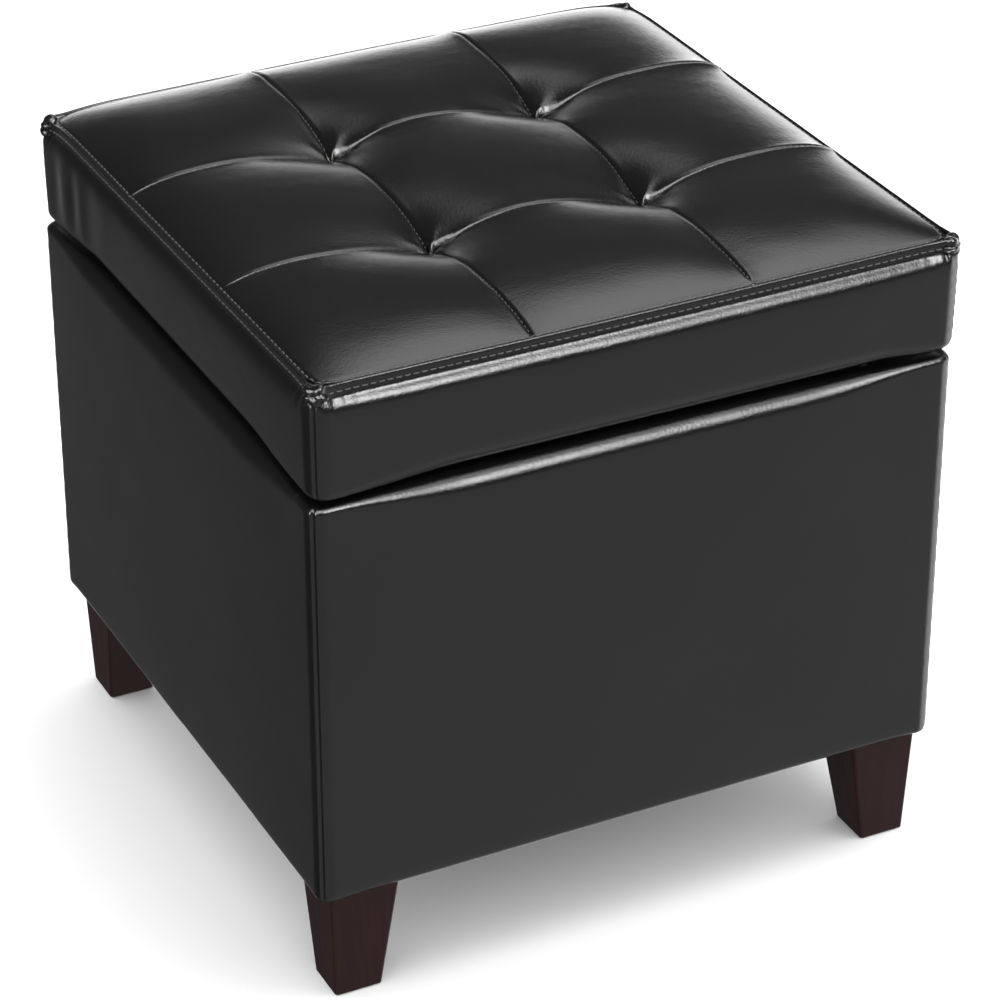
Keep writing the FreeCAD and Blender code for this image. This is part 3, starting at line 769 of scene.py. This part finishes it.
def leather(name="leathercloth_black", lo=0.0038, hi=0.0050, rough=0.185):
    m, nt, b, co = new_mat(name)
    big = tex(nt, "ShaderNodeTexNoise", co, 9, Detail=4)
    col = ramp(nt, big.outputs["Fac"], [(0.3, (lo, lo, lo * 1.02)), (0.7, (hi, hi, hi * 1.02))])
    nt.links.new(col, b.inputs["Base Color"])
    cell = tex(nt, "ShaderNodeTexVoronoi", co, 720, feature="SMOOTH_F1", Smoothness=0.45)
    pebble = tex(nt, "ShaderNodeTexNoise", co, 380, Detail=5, Roughness=0.6)
    warp = tex(nt, "ShaderNodeTexNoise", co, 2300, Detail=3)
    wear = tex(nt, "ShaderNodeTexNoise", co, 14, Detail=2)
    r = math_(nt, "ADD", remap(nt, wear.outputs["Fac"], 0.3, 0.7, rough - 0.008, rough + 0.008),
              remap(nt, cell.outputs["Distance"], 0.0, 0.6, -0.02, 0.04))
    nt.links.new(r, b.inputs["Roughness"])
    h = math_(nt, "ADD", cell.outputs["Distance"], math_(nt, "MULTIPLY", warp.outputs["Fac"], 0.6))
    n1 = bump(nt, b, wear.outputs["Fac"], 0.02, 0.0006)
    n2 = bump(nt, b, pebble.outputs["Fac"], 0.30, 0.00045, n1)
    bump(nt, b, h, 0.36, 0.00021, n2)
    b.inputs["Specular IOR Level"].default_value = 0.5
    b.inputs["Coat Weight"].default_value = 0.18
    b.inputs["Coat Roughness"].default_value = 0.16
    return m


def wood_dark():
    m, nt, b, co = new_mat("espresso_stained_wood")
    v = stretch(nt, co, (1.0, 1.0, 0.055))
    g = tex(nt, "ShaderNodeTexNoise", v, 420, Detail=6, Roughness=0.62)
    g2 = tex(nt, "ShaderNodeTexNoise", v, 95, Detail=3)
    mixf = math_(nt, "ADD", math_(nt, "MULTIPLY", g.outputs["Fac"], 0.6), math_(nt, "MULTIPLY", g2.outputs["Fac"], 0.4))
    col = ramp(nt, mixf, [(0.34, (0.0105, 0.0031, 0.0026)), (0.5, (0.0148, 0.0042, 0.0034)), (0.66, (0.0205, 0.0058, 0.0046))])
    nt.links.new(col, b.inputs["Base Color"])
    nt.links.new(remap(nt, g.outputs["Fac"], 0.3, 0.7, 0.42, 0.30), b.inputs["Roughness"])
    bump(nt, b, g.outputs["Fac"], 0.12, 0.0003)
    b.inputs["Coat Weight"].default_value = 0.03
    b.inputs["Coat Roughness"].default_value = 0.3
    b.inputs["Specular IOR Level"].default_value = 0.2
    return m


def simple(name, stops, scale, rough, bumps, metallic=0.0, sheen=0.0, aniso=None, kind="ShaderNodeTexNoise"):
    m, nt, b, co = new_mat(name)
    if aniso:
        co = stretch(nt, co, aniso)
    n = tex(nt, kind, co, scale)
    if kind == "ShaderNodeTexNoise":
        n.inputs["Detail"].default_value = 5
        f = n.outputs["Fac"]
    else:
        f = n.outputs["Distance"]
    nt.links.new(ramp(nt, f, stops), b.inputs["Base Color"])
    nt.links.new(remap(nt, f, 0.3, 0.7, rough[0], rough[1]), b.inputs["Roughness"])
    bump(nt, b, f, bumps[0], bumps[1])
    b.inputs["Metallic"].default_value = metallic
    b.inputs["Sheen Weight"].default_value = sheen
    return m


M = {}
M["black_leathercloth"] = leather()
M["thread"] = simple("polyester_thread_black", [(0.3, (0.022,) * 3), (0.7, (0.055,) * 3)], 2600, (0.22, 0.34), (0.3, 0.0001), sheen=0.3)
M["dark_wood"] = wood_dark()
M["fibreboard"] = simple("raw_fibreboard", [(0.3, (0.30, 0.20, 0.12)), (0.7, (0.46, 0.33, 0.21))], 900, (0.75, 0.9), (0.2, 0.0002))
M["softwood"] = simple("sawn_softwood", [(0.35, (0.48, 0.31, 0.16)), (0.65, (0.68, 0.50, 0.30))], 160, (0.6, 0.8), (0.25, 0.0003), aniso=(0.06, 1, 1))
M["foam"] = simple("open_cell_foam", [(0.0, (0.55, 0.50, 0.36)), (0.6, (0.80, 0.75, 0.58))], 700, (0.9, 1.0), (0.7, 0.0008), kind="ShaderNodeTexVoronoi")
M["zinc_steel"] = simple("zinc_plated_steel", [(0.3, (0.50, 0.50, 0.48)), (0.7, (0.66, 0.66, 0.64))], 300, (0.26, 0.42), (0.08, 0.0001), metallic=1.0)
M["hinge_steel"] = simple("satin_hinge_steel", [(0.3, (0.24, 0.235, 0.225)), (0.7, (0.36, 0.355, 0.34))], 700, (0.34, 0.5), (0.14, 0.0001), metallic=1.0, aniso=(0.05, 1, 1))
M["glide_felt"] = simple("felt_glide", [(0.3, (0.03, 0.027, 0.024)), (0.7, (0.07, 0.063, 0.056))], 1800, (0.9, 1.0), (0.6, 0.0004), sheen=0.4)
M["bumper_rubber"] = simple("bumper_rubber_black", [(0.3, (0.016,) * 3), (0.7, (0.028,) * 3)], 1200, (0.6, 0.75), (0.1, 0.0001))
M["twine"] = simple("waxed_twine", [(0.3, (0.02,) * 3), (0.7, (0.05,) * 3)], 1500, (0.5, 0.7), (0.4, 0.0002))


def nonwoven():
    m, nt, b, co = new_mat("nonwoven_lining_black")
    fib = tex(nt, "ShaderNodeTexNoise", co, 1500, Detail=6, Roughness=0.7)
    dots = tex(nt, "ShaderNodeTexVoronoi", co, 620, feature="F1", Randomness=0.25)
    nt.links.new(ramp(nt, fib.outputs["Fac"], [(0.3, (0.009, 0.009, 0.0095)), (0.7, (0.024, 0.024, 0.025))]), b.inputs["Base Color"])
    nt.links.new(remap(nt, fib.outputs["Fac"], 0.3, 0.7, 0.78, 0.95), b.inputs["Roughness"])
    h = math_(nt, "ADD", fib.outputs["Fac"], math_(nt, "MULTIPLY", remap(nt, dots.outputs["Distance"], 0.1, 0.3, 0, 1), 0.8))
    bump(nt, b, h, 0.45, 0.00025)
    b.inputs["Sheen Weight"].default_value = 0.10
    b.inputs["Sheen Roughness"].default_value = 0.5
    b.inputs["Specular IOR Level"].default_value = 0.3
    return m


M["black_lining"] = nonwoven()


def dress(ob, key):
    ob.data.materials.clear()
    ob.data.materials.append(M[key])


pads = {n: padding(n + "_wadding", k) for k, n in enumerate(("front", "right", "back", "left"))}
slots = {s["node"]: s["material_slot"] for s in frame["record"]["subparts"]}
for n, ob in frame["nodes"].items():
    for s in ob.material_slots:
        s.link = "OBJECT"
        s.material = M[slots[n]]

for ob, key, slot, rides, nodes in (
        (top_cover, "black_leathercloth", "black_leathercloth", "lid", ["lid_top_cover"]),
        (foam_block, "foam", "foam", "lid", ["lid_foam"]),
        (side_band, "black_leathercloth", "black_leathercloth", "lid", ["lid_side_band"]),
        (bead, "black_leathercloth", "black_leathercloth", "lid", ["lid_edge_seam"]),
        (gathers, "black_leathercloth", "black_leathercloth", "lid", []),
        (lower, "thread", "black_leathercloth", "lid", []),
        (upper, "thread", "black_leathercloth", "lid", []),
        (quilting, "thread", "black_leathercloth", "lid", []),
        (lid_dust, "black_lining", "black_lining", "lid", ["lid_dust_cover"]),
        (lid_staples, "zinc_steel", "zinc_steel", "lid", []),
        (box_cover, "black_leathercloth", "black_leathercloth", "box", ["box_cover"]),
        (pads["front"], "foam", "foam", "box", ["front_padding"]),
        (pads["back"], "foam", "foam", "box", ["back_padding"]),
        (pads["left"], "foam", "foam", "box", ["left_padding"]),
        (pads["right"], "foam", "foam", "box", ["right_padding"]),
        (floor_lining, "black_lining", "black_lining", "box", ["floor_lining"]),
        (wall_lining, "black_lining", "black_lining", "box", ["wall_lining"]),
        (under_dust, "black_lining", "black_lining", "box", ["bottom_dust_cover"]),
        (under_staples, "zinc_steel", "zinc_steel", "box", [])):
    dress(ob, key)
    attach(ob, rides)
    if nodes:
        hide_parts(*nodes)

# ------------------------------------------------------------- floor and lights
bpy.ops.mesh.primitive_plane_add(size=40, location=(0, 0, 0))
floor = bpy.context.object
floor.name = "studio_floor"
m, nt, b, co = new_mat("studio_floor_pale")
b.inputs["Base Color"].default_value = (0.95, 0.95, 0.95, 1)
b.inputs["Roughness"].default_value = 0.9
b.inputs["Specular IOR Level"].default_value = 0.1
floor.data.materials.append(m)
floor.visible_glossy = False
floor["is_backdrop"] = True


def area(name, loc, aim, sx, sy, power, **kw):
    L = bpy.data.lights.new(name, "AREA")
    L.shape = "RECTANGLE"
    L.size, L.size_y, L.energy = sx, sy, power
    ob = bpy.data.objects.new(name, L)
    ob.location = loc
    ob.rotation_euler = (Vector(aim) - Vector(loc)).to_track_quat("-Z", "Y").to_euler()
    bpy.context.scene.collection.objects.link(ob)
    for k, v in kw.items():
        setattr(ob, k, v)
    return ob


area("top_softbox", (0.55, -0.25, 2.20), (0.0, 0.0, 0.2), 1.5, 1.3, 26, visible_glossy=False)

world = bpy.data.worlds.new("studio")
bpy.context.scene.world = world
world.use_nodes = True
wn = world.node_tree
bg = wn.nodes["Background"]
tc = wn.nodes.new("ShaderNodeTexCoord")
sep = wn.nodes.new("ShaderNodeSeparateXYZ")
wn.links.new(tc.outputs["Generated"], sep.inputs[0])
DX, DY, DZ = sep.outputs["X"], sep.outputs["Y"], sep.outputs["Z"]


def step(v, a, b, lo, hi):
    n = wn.nodes.new("ShaderNodeMapRange")
    n.interpolation_type = "SMOOTHSTEP"
    for k, q in (("From Min", a), ("From Max", b), ("To Min", lo), ("To Max", hi)):
        n.inputs[k].default_value = q
    wn.links.new(v, n.inputs["Value"])
    return n.outputs["Result"]


# pale sweep low behind and to the right, dim floor in front, darkness to the left
turn = math_(wn, "ADD", math_(wn, "MULTIPLY", DX, 0.9), math_(wn, "MULTIPLY", DY, 0.43))
sweep_l = math_(wn, "MULTIPLY", step(turn, 0.30, 0.62, 0.0, 1.0), math_(wn, "MULTIPLY", step(DZ, 0.02, 0.24, 2.1, 0.0), step(DZ, -0.75, -0.3, 0.35, 1.0)))
front_l = math_(wn, "MULTIPLY", step(DY, 0.25, -0.45, 0.0, 0.40), step(DZ, 0.02, -0.22, 0.0, 1.0))
# a softbox in front, to the right, a small one to the left and a broad one overhead

def facing(x, y, z):
    v = math_(wn, "ADD", math_(wn, "MULTIPLY", DX, x), math_(wn, "MULTIPLY", DY, y))
    return math_(wn, "ADD", v, math_(wn, "MULTIPLY", DZ, z))


fade = step(DX, 0.33, 0.50, 1.36, 0.30)       # the softbox falls off toward the right
box_l = math_(wn, "ADD", math_(wn, "MULTIPLY", step(facing(0.391, -0.720, 0.573), 0.940, 0.999, 0.0, 14.0), math_(wn, "MULTIPLY", fade, fade)), step(facing(-0.80, -0.42, 0.42), 0.85, 0.96, 0.0, 9.0))
front_l = math_(wn, "ADD", math_(wn, "ADD", front_l, box_l), math_(wn, "MULTIPLY", fade, step(facing(-0.15, -0.53, 0.835), 0.935, 0.985, 0.0, 6.0)))
high_l = math_(wn, "MULTIPLY", step(DZ, 0.58, 0.90, 0.0, 3.0), step(DX, 0.0, 0.34, 0.0, 1.0))
low_l = math_(wn, "MULTIPLY", step(turn, -0.45, 0.30, 0.0, 0.078), step(DZ, 0.15, -0.15, 0.0, 1.0))
total = math_(wn, "ADD", math_(wn, "ADD", sweep_l, front_l), math_(wn, "ADD", high_l, math_(wn, "ADD", low_l, 0.055)))
lp = wn.nodes.new("ShaderNodeLightPath")
plain = wn.nodes.new("ShaderNodeMix")
plain.data_type = "FLOAT"
wn.links.new(lp.outputs["Is Camera Ray"], plain.inputs[0])
plain.inputs[2].default_value = 1.42
plain.inputs[3].default_value = 0.98
pick = wn.nodes.new("ShaderNodeMix")
pick.data_type = "FLOAT"
wn.links.new(lp.outputs["Is Glossy Ray"], pick.inputs[0])
wn.links.new(plain.outputs[0], pick.inputs[2])
wn.links.new(total, pick.inputs[3])
comb = wn.nodes.new("ShaderNodeCombineColor")
for i in range(3):
    wn.links.new(pick.outputs[0], comb.inputs[i])
wn.links.new(comb.outputs[0], bg.inputs["Color"])
bg.inputs["Strength"].default_value = 1.0

# ------------------------------------------------------------------------ camera
cam = bpy.data.cameras.new("camera")
cam.sensor_width = 36.0
cam.lens = 137.97
cam_ob = bpy.data.objects.new("camera", cam)
bpy.context.scene.collection.objects.link(cam_ob)
W = 0.44
cam_ob.location = (-2.2388 * W, -4.4630 * W, 3.3365 * W)
TURN = math.radians(0.42)
cx, cy = cam_ob.location.x, cam_ob.location.y
cam_ob.location.x, cam_ob.location.y = cx * math.cos(TURN) - cy * math.sin(TURN), cx * math.sin(TURN) + cy * math.cos(TURN)
az, el = math.radians(-26.925) + TURN, math.radians(30.022)
cam_ob.location.x -= 0.00135 * math.cos(az)
cam_ob.location.y -= 0.00135 * math.sin(az)
look = Vector((-math.sin(az) * math.cos(el), math.cos(az) * math.cos(el), -math.sin(el)))
cam_ob.rotation_euler = look.to_track_quat("-Z", "Y").to_euler()
bpy.context.scene.camera = cam_ob

bpy.context.view_layer.update()
lo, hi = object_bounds()
